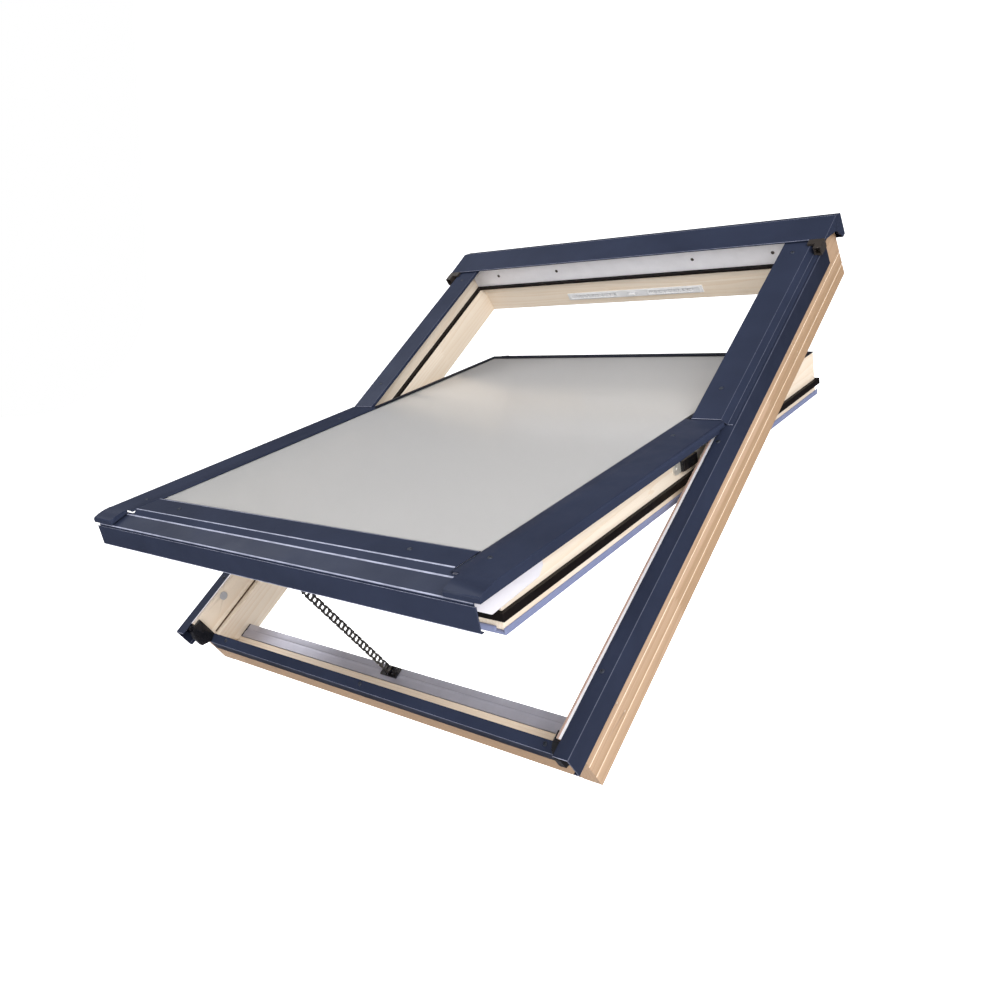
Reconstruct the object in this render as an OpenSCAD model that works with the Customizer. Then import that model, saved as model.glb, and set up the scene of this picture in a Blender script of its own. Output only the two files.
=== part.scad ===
// Centre-pivot roof window with a chain actuator, set in a sloping roof.
// Every piece is drawn in the plane of the roof and then tilted by the roof's slope:
//   u  across the window, v  up the slope, n  square to the roof, outwards.
// The sash has its own three directions, u, s and m, which turn with it about the pivot.
// The origin is the centre of the frame, on its room side.

/* [Roof and opening] */
// Slope of the roof, in degrees
roof_pitch = 42; // [15:1:60]
// Angle that the sash stands open by, in degrees
sash_open = 26.4; // [20:0.2:30]
// Height of the pivot above the frame's room side
pivot_n = 93.4; // [92:0.2:94]

/* [Frame wood] */
// Width of the frame over its wood
frame_w = 780; // [660:10:1140]
// Length of the frame over its wood, up the slope
frame_l = 980; // [860:10:1400]
// Depth of the frame, room side to roof side
frame_d = 102; // [102:1:104]
// Thickness of a jamb below its step
jamb_t = 29; // [27:1:36]
// Depth of the step in the jambs' inner faces
jamb_step = 10; // [9:0.5:11]
// Height of the step above the room side
step_n = 58; // [57:0.5:60]
// Thickness of the top rail
top_rail_t = 45; // [43:1:60]
// Thickness of the bottom rail's upright wall
sill_wall = 11; // [10:0.5:14]
// Height of the bottom rail's upright wall
sill_h = 56; // [52:0.5:57]
// Rise of that wall to its inner edge
sill_rise = 4.6; // [2:0.2:5]
// Width of the bottom rail's ledge, with its wall
ledge_w = 37; // [36:1:44]
// Height of the bottom rail's ledge
ledge_h = 20; // [18:0.5:22]
// Height of the gasket along the frame's step
gasket_h = 4.5; // [3:0.5:8]
// Width of the grooves run along the frame's outer sides
groove_w = 3; // [1:0.5:5]
// Depth of those grooves
groove_d = 1.6; // [0.5:0.1:3]

/* [Sash] */
// Gap between the sash's wood and a jamb
sash_gap = 11; // [10:0.5:13]
// Gap between the sash and the bottom rail's wall
sash_foot_gap = 9; // [8:0.5:12]
// Gap between the sash and the top rail
sash_head_gap = 20; // [16:1:30]
// Width of a stile
stile_w = 50; // [44:1:60]
// Width of the sash's top rail
sash_rail_w = 75; // [70:1:90]
// Width of the sash's bottom rail
sash_sill_w = 35; // [32:1:40]
// Depth of the sash's wood below the pivot
sash_under = 60; // [57:1:63]
// Height of the sash's wood above the pivot
sash_over = 12; // [9:0.5:13]
// Thickness of one pane
pane_t = 4; // [3:0.5:5]
// Gap between the panes
pane_gap = 16; // [14:1:16]
// Height of the glass above the pivot
glass_m = 22; // [21:0.5:23]
// Width of the glass hidden under the covers
glass_edge = 7.5; // [7:0.5:9]

/* [Sheet metal] */
// Thickness of the covers and cladding
sheet_t = 1.2; // [0.8:0.1:1.4]
// How far the frame's cladding stands out from the wood
clad_out = 8; // [6:0.5:12]
// Height of the side cladding's skirt
clad_skirt = 36; // [28:1:42]
// How far the side cladding runs past the frame's foot
clad_past = 22; // [16:1:30]
// Height of the upper covers above the frame's wood
upper_rise = 12; // [11:0.5:13]
// Width of an upper cover's flat top
upper_flat = 46; // [40:1:50]
// Width of the covers' slope down to the glass
cover_lip = 4; // [2:0.5:5]
// How far the sash's side covers stop short of the frame's full width
cover_in_set = 5; // [4:0.5:7]
// How far the sash's bottom cover runs past the sash's foot
apron = 65; // [62:1:72]
// Depth of the drip flap
flap_h = 31; // [20:1:34]

/* [Chain drive] */
// Height of the actuator's profile
drive_h = 19; // [18:0.5:20]
// Width of the actuator's profile
drive_w = 25; // [24:0.5:28]
// Wall of the actuator's profile
drive_wall = 1.6; // [1.2:0.1:2]
// Length of a chain link, before the run is shared out evenly
link_l = 9; // [8.5:0.1:10]
// Width of a link across its plates
link_w = 10.4; // [9:0.2:11]
// Radius of the chain's pins
chain_pin_r = 1.25; // [1:0.05:1.4]

/* [Hinges and fixings] */
// Radius of the sash's pivot pins
pivot_r = 6; // [5:0.5:7]
// Running clearance round each pivot pin
pivot_play = 0.05; // [0.02:0.01:0.08]
// Thickness of the hinge plates
hinge_t = 2.5; // [2:0.1:3]
// Radius of the bracket screw holes in the frame's sides
bracket_hole_r = 2; // [1.5:0.1:3]
// Depth of the bracket screw holes
bracket_hole_l = 24; // [16:1:26]

/* [Vent] */
// Length of the vent grille
vent_l = 300; // [200:10:400]
// Height of the vent grille
vent_h = 15; // [14:0.5:18]
// Height of the vent's middle above the room side
vent_n = 21; // [18:0.5:24]
// Travel of the vent's slider
vent_travel = 5; // [3:0.5:5]

/* [Hidden] */
$fn = 40;

eps = 1;              // overrun of a cut past the face that it opens
seat = 0.3;           // gap left where one piece lies against another
fit = 0.05;           // clearance of a screw, pin or dowel in its hole

// Frame, half widths and ends
half_w = frame_w / 2;
half_l = frame_l / 2;
jamb_in = half_w - jamb_t;
step_in = jamb_in + jamb_step;
top_in = half_l - top_rail_t;
sill_in = -half_l + sill_wall;
ledge_in = -half_l + ledge_w;
grooves_n = [20, 43];

// Sash, half widths, ends and levels
sash_u = jamb_in - sash_gap;
sash_foot = sill_in + sash_foot_gap;
sash_head = top_in - sash_head_gap;
rebate = 20;
glass_play = 1.5;
glass_u = sash_u - rebate - glass_play;
glass_foot = sash_foot + 8;
glass_head = sash_head - 51;
unit_t = 2 * pane_t + pane_gap;
shelf_m = glass_m - unit_t - 3;
cover_m = glass_m + 3;
lip_m = glass_m + 1.5;
cover_u = glass_u - glass_edge;
skirt_u = half_w - cover_in_set;
skirt_m = sash_over;

// Cladding
clad_n = frame_d + sheet_t;
clad_u = half_w + clad_out;
clad_inner = step_in + 6;
clad_foot = -half_l - clad_past;
clad_head = half_l - 62;
rail_clad_v = -half_l - 3;
sill_slope = atan2(sill_rise, sill_wall);
function rail_top(v) = sill_h + (v + half_l) * tan(sill_slope) + sheet_t / cos(sill_slope);
rail_screw = [(sill_in - half_l) / 2, rail_top((sill_in - half_l) / 2)];
rail_clad_n = 38;
upper_n = frame_d + upper_rise;
upper_u = half_w - 10 - upper_flat;
upper_foot = 17;
hood_lip = top_in - 22;
hood_n = upper_n + 5.8;
hood_ridge = half_l - 7;
hood_u = clad_u + 3.6;

// Chain drive
drive_in = ledge_in + seat;
drive_n = 1;
drive_top = drive_n + drive_h;
drive_mid = drive_in + 15.7;
guide_h = 2.6;
bracket_s = sash_foot - 1;
bracket_m = -sash_under - 5;
eye_l = 8;
chain_foot = [drive_mid, drive_n + 16];
chain_head = [
    bracket_s * cos(sash_open) + bracket_m * sin(sash_open),
    pivot_n - bracket_s * sin(sash_open) + bracket_m * cos(sash_open)
];
chain_span = norm(chain_head - chain_foot);
chain_run = chain_span - eye_l;
chain_links_n = 2 * round(chain_run / link_l / 2);
chain_pitch = chain_run / chain_links_n;
chain_lean = atan2(chain_foot[0] - chain_head[0], chain_head[1] - chain_foot[1]);
sprocket_r = 6.2;
sprocket_at = [7.4, drive_n + 9.4];

// Hinges
hinge_plate_u = step_in - hinge_t;
boss_u = sash_u + hinge_t + 10;
brake_s = -72;

// Screws: radius and height of the head, radius of the shank
head_r = 3.2;
head_h = 1.2;
shank_r = 1.5;
rail_screws_u = [-330, 0, 330] * (jamb_in / 361);
side_screws_v = [-half_l + 95, -15];
clip_peg_r = 2;
upper_screws_v = [80, clad_head - 30];
strip_screws_u = [-300, -150, 150, 300] * (jamb_in / 361);
apron_screws_u = [-235, 235] * (jamb_in / 361);
cover_screws_s = [sash_foot + 4, -66];
hinge_screws_v = [-36, 36];
bracket_screws_u = [-13, 13];
sash_hinge_screws_s = [brake_s - 8, -26, 24];
bracket_holes = [
    [[-half_l + 85, 51], [-half_l + 88, 27]],
    [[half_l - 242, 51], [half_l - 232, 27]]
];
dowels_top = [[half_l - 12, 12], [half_l - 12, 84]];
dowels_foot = [[-half_l + 12, 12], [-half_l + 29, 12]];
dowel_r = 4;
dowel_l = 48;
plug_at = [-half_l + 68, 91];

slate = [0.19, 0.23, 0.30];
pine = [0.86, 0.70, 0.52];
cream = [0.93, 0.87, 0.77];
rubber = [0.10, 0.08, 0.07];
alloy = [0.78, 0.78, 0.82];

// ---- directions and shared shapes ----

// Tilts the roof plane's u, v, n to its slope
module on_roof() rotate([roof_pitch, 0, 0]) children();

// Places the sash's u, s, m, open about the pivot
module on_sash() on_roof() translate([0, 0, pivot_n]) rotate([-sash_open, 0, 0]) children();

// Draws its children for the right side, or mirrored for the left
module at_side(side) {
    if (side < 0) mirror([1, 0, 0]) children();
    else children();
}
module both_sides() {
    children();
    mirror([1, 0, 0]) children();
}

// A box from its lowest to its highest corner
module block(low, high) translate(low) cube(high - low);

// Runs a (u, n) section up the slope from v = a to b
module run_up(a, b) translate([0, b, 0]) rotate([90, 0, 0]) linear_extrude(b - a) children();

// Runs a (v, n) section across, from u = a to b
module run_across(a, b) translate([a, 0, 0]) rotate([90, 0, 90]) linear_extrude(b - a) children();

// Outline of a sheet folded along a path, its thickness laid to the right of the path
function along(p, i) = (p[i + 1] - p[i]) / norm(p[i + 1] - p[i]);
function square_to(d) = [d[1], -d[0]];
function corner_step(p, i) =
    let (
        a = square_to(along(p, max(i - 1, 0))),
        b = square_to(along(p, min(i, len(p) - 2)))
    ) (a + b) / (1 + a * b);
function folded(p, t) = concat(p, [for (i = [len(p) - 1 : -1 : 0]) p[i] + t * corner_step(p, i)]);
module sheet(p) polygon(folded(p, sheet_t));

// A round rod from a point, along u, v or n
module rod_u(at, r, l) translate(at) rotate([0, 90, 0]) cylinder(r = r, h = l);
module rod_v(at, r, l) translate(at) rotate([-90, 0, 0]) cylinder(r = r, h = l);
module rod_n(at, r, l) translate(at) cylinder(r = r, h = l);

// A screw driven down -n into a face at its origin, and the hole that it passes through
module screw_down(l) {
    cylinder(r1 = head_r, r2 = head_r - 0.8, h = head_h);
    translate([0, 0, -l]) cylinder(r = shank_r, h = l + 0.2);
}
module screw_hole(l) translate([0, 0, -l]) cylinder(r = shank_r + fit, h = l + eps);

// ---- frame wood ----

function jamb_section() = concat(
    [[jamb_in, 0], [half_w, 0]],
    [for (g = grooves_n) each [
        [half_w, g - groove_w / 2], [half_w - groove_d, g - groove_w / 4],
        [half_w - groove_d, g + groove_w / 4], [half_w, g + groove_w / 2]
    ]],
    [[half_w, frame_d], [step_in, frame_d], [step_in, step_n], [jamb_in, step_n]]
);

module dowel_at(p, r, l) rod_u([jamb_in - dowel_l / 2, p[0], p[1]], r, l);

module jamb(side) color(pine) on_roof() at_side(side) difference() {
    run_up(-half_l, half_l) polygon(jamb_section());
    for (pair = bracket_holes, p = pair)
        rod_u([half_w - bracket_hole_l, p[0], p[1]], bracket_hole_r, bracket_hole_l + eps);
    for (p = concat(dowels_top, dowels_foot)) dowel_at(p, dowel_r, dowel_l / 2 + 25);
    for (v = side_screws_v) translate([clad_inner + 8, v, clad_n]) screw_hole(20);
    for (v = hinge_screws_v)
        rod_u([step_in - eps, v, frame_d - 20], shank_r + fit, 14);
    for (v = upper_screws_v) rod_n([step_in + 3, v, frame_d - 12], clip_peg_r + fit, 12 + eps);
    rod_u([step_in - eps, plug_at[0], plug_at[1]], 4 + fit, 9);
    // notch that the rail cladding runs out through
    block([jamb_in - eps, -half_l - eps, sill_h - seat], [step_in, sill_in + seat, step_n + eps]);
}

module top_rail() color(pine) on_roof() difference() {
    union() {
        block([-jamb_in, top_in, 0], [jamb_in, half_l, step_n]);
        block([-step_in, top_in, step_n], [step_in, half_l, frame_d]);
    }
    // vent passage: in from the room side, then out under the top cladding
    block([-vent_l / 2 + 1, top_in - eps, vent_n - 7], [vent_l / 2 - 1, top_in + 3, vent_n + 7]);
    block([-vent_l / 2 + 6, top_in, vent_n - 5], [vent_l / 2 - 6, top_in + 27, vent_n + 5]);
    block([-vent_l / 2 + 6, top_in + 17, vent_n - 5], [vent_l / 2 - 6, top_in + 27, frame_d + eps]);
    for (m = [0, 1], p = dowels_top) mirror([m, 0, 0]) dowel_at(p, dowel_r, dowel_l / 2 + 11);
    for (u = strip_screws_u) rod_v([u, top_in - eps, 86], shank_r + fit, 15);
}

// Places a screw on the sloping top of the bottom rail
module on_sill(u) translate([u, rail_screw[0], rail_screw[1]]) rotate([sill_slope, 0, 0]) children();

module bottom_rail() color(pine) on_roof() difference() {
    run_across(-jamb_in, jamb_in) polygon([
        [-half_l, 0], [ledge_in, 0], [ledge_in, ledge_h], [sill_in, ledge_h],
        [sill_in, sill_h + sill_rise], [-half_l, sill_h]
    ]);
    for (m = [0, 1], p = dowels_foot) mirror([m, 0, 0]) dowel_at(p, dowel_r, dowel_l / 2 + 11);
    for (u = rail_screws_u) on_sill(u) screw_hole(18);
}

module corner_dowels() color(cream) on_roof() both_sides()
    for (p = concat(dowels_top, dowels_foot)) dowel_at(p, dowel_r - fit, dowel_l - 1);

// ---- frame cladding and covers ----

module side_cladding(side) color(slate) on_roof() at_side(side) difference() {
    run_up(clad_foot, clad_head) sheet([
        [clad_inner, clad_n], [clad_u, clad_n], [clad_u, clad_n - clad_skirt],
        [half_w + seat, clad_n - clad_skirt]
    ]);
    for (v = side_screws_v) translate([clad_inner + 8, v, clad_n]) screw_hole(4);
}

module rail_cladding() color(slate) on_roof() difference() {
    run_across(-step_in + seat, step_in - seat) sheet([
        [-half_l - seat, rail_clad_n], [rail_clad_v, rail_clad_n],
        [rail_clad_v, rail_top(rail_clad_v)], [sill_in, rail_top(sill_in)]
    ]);
    for (u = rail_screws_u) on_sill(u) screw_hole(4);
}

function hood_path() = [
    [hood_lip, hood_n - 4.5], [hood_lip, hood_n - 2], [hood_ridge, hood_n],
    [half_l + 10, hood_n - 8], [half_l + 10, frame_d - 30], [half_l + seat, frame_d - 30]
];
module top_cladding() color(slate) on_roof() {
    run_across(-hood_u, hood_u) sheet(hood_path());
    both_sides() run_across(hood_u - sheet_t, hood_u) polygon([
        [hood_lip, hood_n - 4.5], [hood_lip, hood_n - 2], [hood_ridge, hood_n],
        [half_l + 10, hood_n - 8], [half_l + 10, frame_d - 30], [half_l + 1, frame_d - 30],
        [half_l - 20, frame_d - 3]
    ]);
}

module upper_cover(side) color(slate) on_roof() at_side(side) difference() {
    union() {
        run_up(upper_foot, hood_lip + 40) sheet([
            [upper_u, upper_n - 6], [upper_u, upper_n], [half_w - 10, upper_n],
            [half_w - 3, clad_n + sheet_t], [clad_u - 3, clad_n + sheet_t]
        ]);
        block([upper_u, upper_foot, upper_n - 4], [half_w - 11, upper_foot + sheet_t, upper_n - 0.5]);
    }
    for (v = upper_screws_v) translate([sash_u + 6, v, upper_n]) screw_hole(4);
}

// Angle clips, pegged into the jambs, that stand on them and carry the upper covers
module cover_clips() color([0.2, 0.2, 0.22]) on_roof() both_sides() for (v = upper_screws_v)
    difference() {
        union() {
            block([sash_u + 1.5, v - 12, upper_n - sheet_t - 3], [step_in + 5.5, v + 12, upper_n - sheet_t]);
            block([step_in + 0.5, v - 12, frame_d], [step_in + 5.5, v + 12, upper_n - sheet_t]);
            rod_n([step_in + 3, v, frame_d - 11], clip_peg_r, 12);
        }
        translate([sash_u + 6, v, upper_n]) screw_hole(8);
    }

// Moulded caps over the jambs' foot ends, standing on the rail cladding
module corner_caps() color([0.06, 0.06, 0.07]) on_roof() both_sides() {
    run_across(step_in - 5, step_in - seat) polygon([
        [-half_l - 2, rail_top(-half_l) + seat], [-half_l - 17, step_n + 8], [-half_l - 17, step_n + 26],
        [-half_l - 12, step_n + 37], [-half_l - 4, frame_d - 1], [sill_in, frame_d - 1],
        [sill_in, rail_top(sill_in) + seat]
    ]);
    run_across(step_in - 1, clad_inner - seat) polygon([
        [-half_l - seat, step_n + seat], [-half_l - 17, step_n + 8], [-half_l - 17, step_n + 26],
        [-half_l - 12, step_n + 37], [-half_l - 4, frame_d - 1], [-half_l - seat, frame_d - 1]
    ]);
    // plug that closes the cladding's open end
    block([clad_inner - 1, -half_l - 10, frame_d - 32], [clad_u - sheet_t - seat, -half_l - seat, frame_d - 1]);
}

// Moulded blocks under the hood's two ends, hollow at the foot
module hood_blocks() color([0.16, 0.12, 0.10]) on_roof() both_sides() difference() {
    union() {
        block([clad_u - 2.5, hood_lip - 24, clad_n], [hood_u, hood_lip - seat, hood_n - 1]);
        block([half_w - 1, hood_lip - 24, clad_n + sheet_t], [hood_u, hood_lip - seat, hood_n - 1]);
        block([half_w - 14, hood_lip - 12, upper_n], [hood_u, hood_lip - seat, hood_n - 1]);
    }
    block([half_w + 1, hood_lip - 25, clad_n + sheet_t + 2], [hood_u - 2, hood_lip - 14, hood_n - 3]);
}

module frame_gasket() color(rubber) on_roof() difference() {
    block([-step_in, 0, step_n], [step_in, top_in, step_n + gasket_h]);
    block([-jamb_in - 1, -eps, step_n - eps], [jamb_in + 1, top_in - 8, step_n + 9]);
    // clear of the hinges' plates at the pivot
    block([-step_in - eps, -eps, step_n - eps], [step_in + eps, 50, step_n + 9]);
}

module lower_seal_strips() color([0.30, 0.20, 0.14]) on_roof() both_sides()
    block([step_in - 1, -half_l + 16, step_n + 0.5], [step_in, -50, step_n + 2.7]);

module jamb_strips() color(alloy) on_roof() both_sides() run_up(-half_l, upper_foot) polygon([
    [step_in, frame_d], [clad_inner, frame_d], [clad_inner, clad_n], [step_in + 2, clad_n],
    [step_in + 2, clad_n + 1], [step_in, clad_n + 1]
]);

module head_strip() color(alloy) on_roof() difference() {
    block([-step_in + 1, top_in - 2, step_n + gasket_h + seat], [step_in - 1, top_in, frame_d]);
    for (u = strip_screws_u) rod_v([u, top_in - 5, 86], shank_r + fit, 10);
}

module head_strip_screws() color([0.35, 0.35, 0.38]) on_roof() for (u = strip_screws_u)
    translate([u, top_in - 2, 86]) rotate([90, 0, 0]) screw_down(14);

module cladding_screws() color([0.25, 0.28, 0.34]) on_roof() {
    for (u = rail_screws_u) on_sill(u) screw_down(16);
    both_sides() {
        for (v = side_screws_v) translate([clad_inner + 8, v, clad_n]) screw_down(18);
        for (v = upper_screws_v) translate([sash_u + 6, v, upper_n]) screw_down(7);
    }
}

module jamb_plugs() color([0.55, 0.55, 0.57]) on_roof() both_sides() {
    rod_u([step_in - 1.5, plug_at[0], plug_at[1]], 7, 1.5);
    rod_u([step_in - 1, plug_at[0], plug_at[1]], 4, 8);
}

// ---- vent ----

slot_pitch = 2 * vent_travel;
slots = floor((vent_l / 2 - 48) / slot_pitch);

// Two rows of slots, cut from v = a to b and moved along by a shift
module vent_slots(a, b, shift) both_sides() for (i = [0 : slots - 1])
    block([38 + i * slot_pitch + shift, a, vent_n - 3.5],
          [38 + i * slot_pitch + vent_travel + shift, b, vent_n + 3.5]);

module vent_grille() color([0.95, 0.95, 0.95]) on_roof() difference() {
    union() {
        block([-vent_l / 2, top_in - 2, vent_n - vent_h / 2], [vent_l / 2, top_in, vent_n + vent_h / 2]);
        both_sides() difference() {
            block([34, top_in - 3, vent_n - 5.5], [vent_l / 2 - 5, top_in - 2, vent_n + 5.5]);
            block([36, top_in - 4, vent_n - 4.2], [vent_l / 2 - 7, top_in - 1.9, vent_n + 4.2]);
        }
    }
    vent_slots(top_in - 5, top_in + 1, 0);
    block([-12, top_in - 5, vent_n - 2], [12, top_in + 1, vent_n + 2]);
}

// Slides its own slots over the grille's; they stand shut, half a step apart
module vent_slider() color([0.97, 0.97, 0.97]) on_roof() {
    difference() {
        block([-vent_l / 2 + 8, top_in + seat, vent_n - 5.5], [vent_l / 2 - 8, top_in + 2.5, vent_n + 5.5]);
        vent_slots(top_in - 1, top_in + 4, vent_travel);
    }
    block([-6.5, top_in - 7, vent_n - 1.6], [6.5, top_in + 1, vent_n + 1.6]);
}

// ---- hinges ----

module frame_hinge(side) color([0.62, 0.62, 0.64]) on_roof() at_side(side) difference() {
    union() {
        block([hinge_plate_u, -45, frame_d - 31], [step_in, 45, frame_d - 0.2]);
        rod_u([boss_u, 0, pivot_n], pivot_r + 2.6, hinge_plate_u - boss_u + 0.5);
    }
    rod_u([boss_u - eps, 0, pivot_n], pivot_r + pivot_play, jamb_in);
    for (v = hinge_screws_v)
        rod_u([hinge_plate_u - eps, v, frame_d - 20], shank_r + fit, 10);
}

module frame_hinge_screws() color([0.75, 0.75, 0.77]) on_roof() both_sides()
    for (v = hinge_screws_v)
        translate([hinge_plate_u, v, frame_d - 20]) rotate([0, -90, 0]) screw_down(14);

// Plate, round-ended arm and pivot pin, made as one
module sash_hinge(side) color([0.70, 0.70, 0.72]) on_sash() at_side(side) difference() {
    union() {
        block([sash_u, brake_s - 8, -26], [sash_u + hinge_t, 34, -9]);
        block([sash_u, -20, -26], [sash_u + hinge_t, 20, sash_over - 2]);
        rod_u([sash_u, brake_s - 8, -17.5], 8.5, hinge_t);
        rod_u([sash_u + 1, 0, 0], pivot_r + 4, boss_u - seat - sash_u - 1);
        rod_u([sash_u + 1, 0, 0], pivot_r, step_in - sash_u - 1 - seat);
    }
    for (s = sash_hinge_screws_s) rod_u([sash_u - eps, s, -17.5], shank_r + fit, 12);
}

// Friction blocks that hold the sash where it is left
module brake_blocks() color([0.07, 0.07, 0.08]) on_sash() both_sides()
    block([sash_u + hinge_t, brake_s + 2, -25], [sash_u + hinge_t + 5, brake_s + 42, -10]);

module sash_hinge_screws() color([0.82, 0.82, 0.84]) on_sash() both_sides()
    for (s = sash_hinge_screws_s)
        translate([sash_u + hinge_t, s, -17.5]) rotate([0, 90, 0]) screw_down(18);

// ---- sash wood ----

module stile(side) color(cream) on_sash() at_side(side) difference() {
    run_up(sash_foot, sash_head) polygon([
        [sash_u - stile_w, -sash_under], [sash_u, -sash_under], [sash_u, sash_over],
        [sash_u - rebate, sash_over], [sash_u - rebate, shelf_m], [sash_u - stile_w, shelf_m]
    ]);
    for (s = sash_hinge_screws_s) rod_u([sash_u - 20, s, -17.5], shank_r + fit, 22);
    for (s = cover_screws_s) translate([sash_u - 6, s, cover_m]) screw_hole(28);
}

module sash_top_rail() color(cream) on_sash() difference() {
    block([-sash_u + stile_w, sash_head - sash_rail_w, -sash_under],
          [sash_u - stile_w, sash_head, sash_over]);
    block([-sash_u, sash_head - sash_rail_w - eps, shelf_m],
          [sash_u, glass_head + glass_play, sash_over + eps]);
}

module sash_bottom_rail() color(cream) on_sash() difference() {
    block([-sash_u + stile_w, sash_foot, -sash_under],
          [sash_u - stile_w, sash_foot + sash_sill_w, sash_over]);
    block([-sash_u, glass_foot - glass_play, shelf_m],
          [sash_u, sash_foot + sash_sill_w + eps, sash_over + eps]);
    for (u = bracket_screws_u) bracket_screw_at(u) screw_hole(14);
}

// ---- glass ----

module pane(m) color([0.75, 0.80, 0.82, 0.5]) on_sash()
    block([-glass_u, glass_foot, m], [glass_u, glass_head, m + pane_t]);

// A rectangular ring between two levels
module ring(outer_u, foot, head, width, low, high) difference() {
    block([-outer_u, foot, low], [outer_u, head, high]);
    block([-outer_u + width, foot + width, low - eps], [outer_u - width, head - width, high + eps]);
}

module pane_spacer() color([0.5, 0.5, 0.52]) on_sash()
    ring(glass_u - 2, glass_foot + 2, glass_head - 2, 8, glass_m - unit_t + pane_t, glass_m - pane_t);

module glazing_seal() color(rubber) on_sash() {
    ring(glass_u, glass_foot, glass_head, 10, shelf_m, glass_m - unit_t);
    both_sides() block([cover_u + cover_lip + 0.6, glass_foot + 0.3, glass_m],
                       [glass_u - 0.5, glass_head - 10, cover_m - sheet_t]);
    for (s = [glass_foot + 0.3, glass_head - 4.5])
        block([-cover_u + seat, s, glass_m], [cover_u - seat, s + 3.5, cover_m - sheet_t]);
}

// ---- sash covers ----

nose_s = sash_foot - apron;
nose_in = cover_u + 14;

// Side cover's foot, seen from the side: the top rolls over to a short front
function nose_path() = [
    [nose_s, skirt_m], [nose_s, cover_m - 8], [nose_s + 1.5, cover_m - 5.8],
    [nose_s + 10, cover_m - 2.6], [nose_s + 20, cover_m - 0.7], [nose_s + 30, cover_m]
];
module side_cover(side) color(slate) on_sash() at_side(side) difference() {
    union() {
        run_up(nose_s + 30, -11) sheet(cover_path(skirt_m));
        run_up(-11, 5) sheet(cover_path(skirt_m + 4));
        run_across(nose_in, skirt_u) sheet(nose_path());
        run_across(skirt_u - sheet_t, skirt_u) polygon(concat(nose_path(), [[nose_s + 30, skirt_m]]));
        run_across(nose_in, nose_in + sheet_t) polygon(concat(nose_path(), [[nose_s + 30, cover_m - 5]]));
    }
    for (s = cover_screws_s) translate([sash_u - 6, s, cover_m]) screw_hole(5);
}
function cover_path(low) = [
    [cover_u, lip_m], [cover_u + cover_lip, cover_m], [skirt_u - 1.5, cover_m],
    [skirt_u, cover_m - 1.5], [skirt_u, low]
];

module bottom_cover() color(slate) on_sash() difference() {
    union() {
        run_across(-cover_u + seat, cover_u - seat) sheet(apron_path(true));
        run_across(-skirt_u + 11, skirt_u - 11) sheet(apron_path(false));
    }
    for (u = apron_screws_u) translate([u, sash_foot - 7, cover_m]) screw_hole(5);
}
// From the glass down to the drip edge; the lower part alone runs out under the side covers
function apron_path(whole) = concat(
    [[sash_foot - apron + 1.5, skirt_m - 8], [sash_foot - apron + 1.5, skirt_m - 1.5],
     [sash_foot - 36, cover_m - 7]],
    whole ? [[sash_foot - 26.5, cover_m], [glass_foot + 5, cover_m], [glass_foot + 5 + cover_lip, lip_m]]
          : [[sash_foot - 33, cover_m - 5]]
);

// Extruded angle on the foot of the sash that the bottom cover is screwed to
module cover_carrier() color(alloy) on_sash() difference() {
    run_across(-cover_u + 2, cover_u - 2) polygon([
        [sash_foot - fit, -22], [sash_foot - fit, cover_m - sheet_t], [sash_foot - 14, cover_m - sheet_t],
        [sash_foot - 14, cover_m - sheet_t - 3], [sash_foot - 3, cover_m - sheet_t - 3],
        [sash_foot - 3, -22]
    ]);
    for (u = apron_screws_u) translate([u, sash_foot - 7, cover_m]) screw_hole(8);
}

module drip_flap() color(slate) on_sash() run_across(-skirt_u + 7, skirt_u - 7) sheet([
    [sash_foot - apron + 5, skirt_m - flap_h - 4.6], [sash_foot - apron - sheet_t + 1, skirt_m - flap_h - 4.6],
    [sash_foot - apron - sheet_t + 1, skirt_m - 4.6], [sash_foot - apron + 1, skirt_m - 4.6]
]);

// Clear of the upper covers' inner edges when the sash shuts
trim_u = upper_u - 3.5;
module upper_trim() color([0.12, 0.14, 0.18]) on_sash() {
    both_sides() {
        run_up(5 + seat, glass_head + 2.2) sheet([
            [cover_u, lip_m], [cover_u + cover_lip, cover_m], [trim_u, cover_m],
            [trim_u, sash_over + 2], [sash_u, sash_over + sheet_t]
        ]);
        run_up(glass_head, sash_head) sheet([[trim_u, sash_over + 2], [sash_u, sash_over + sheet_t]]);
    }
    run_across(-trim_u, trim_u) sheet([
        [glass_head - 9, lip_m], [glass_head - 9 + cover_lip, cover_m], [glass_head + 2.2, cover_m],
        [glass_head + 2.2, sash_over + 2], [sash_head, sash_over + sheet_t]
    ]);
}

module sash_cover_screws() color([0.25, 0.28, 0.34]) on_sash() {
    both_sides() for (s = cover_screws_s) translate([sash_u - 6, s, cover_m]) screw_down(26);
    for (u = apron_screws_u) translate([u, sash_foot - 7, cover_m]) screw_down(7);
}

// ---- sash seals, strips and end pieces ----

seal_lip = 6;
module sash_seal() color(rubber) on_sash()
    ring(sash_u + seal_lip, sash_foot - seal_lip, sash_head + seal_lip, seal_lip, -45, -35);

strip_t = 3.5;
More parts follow.
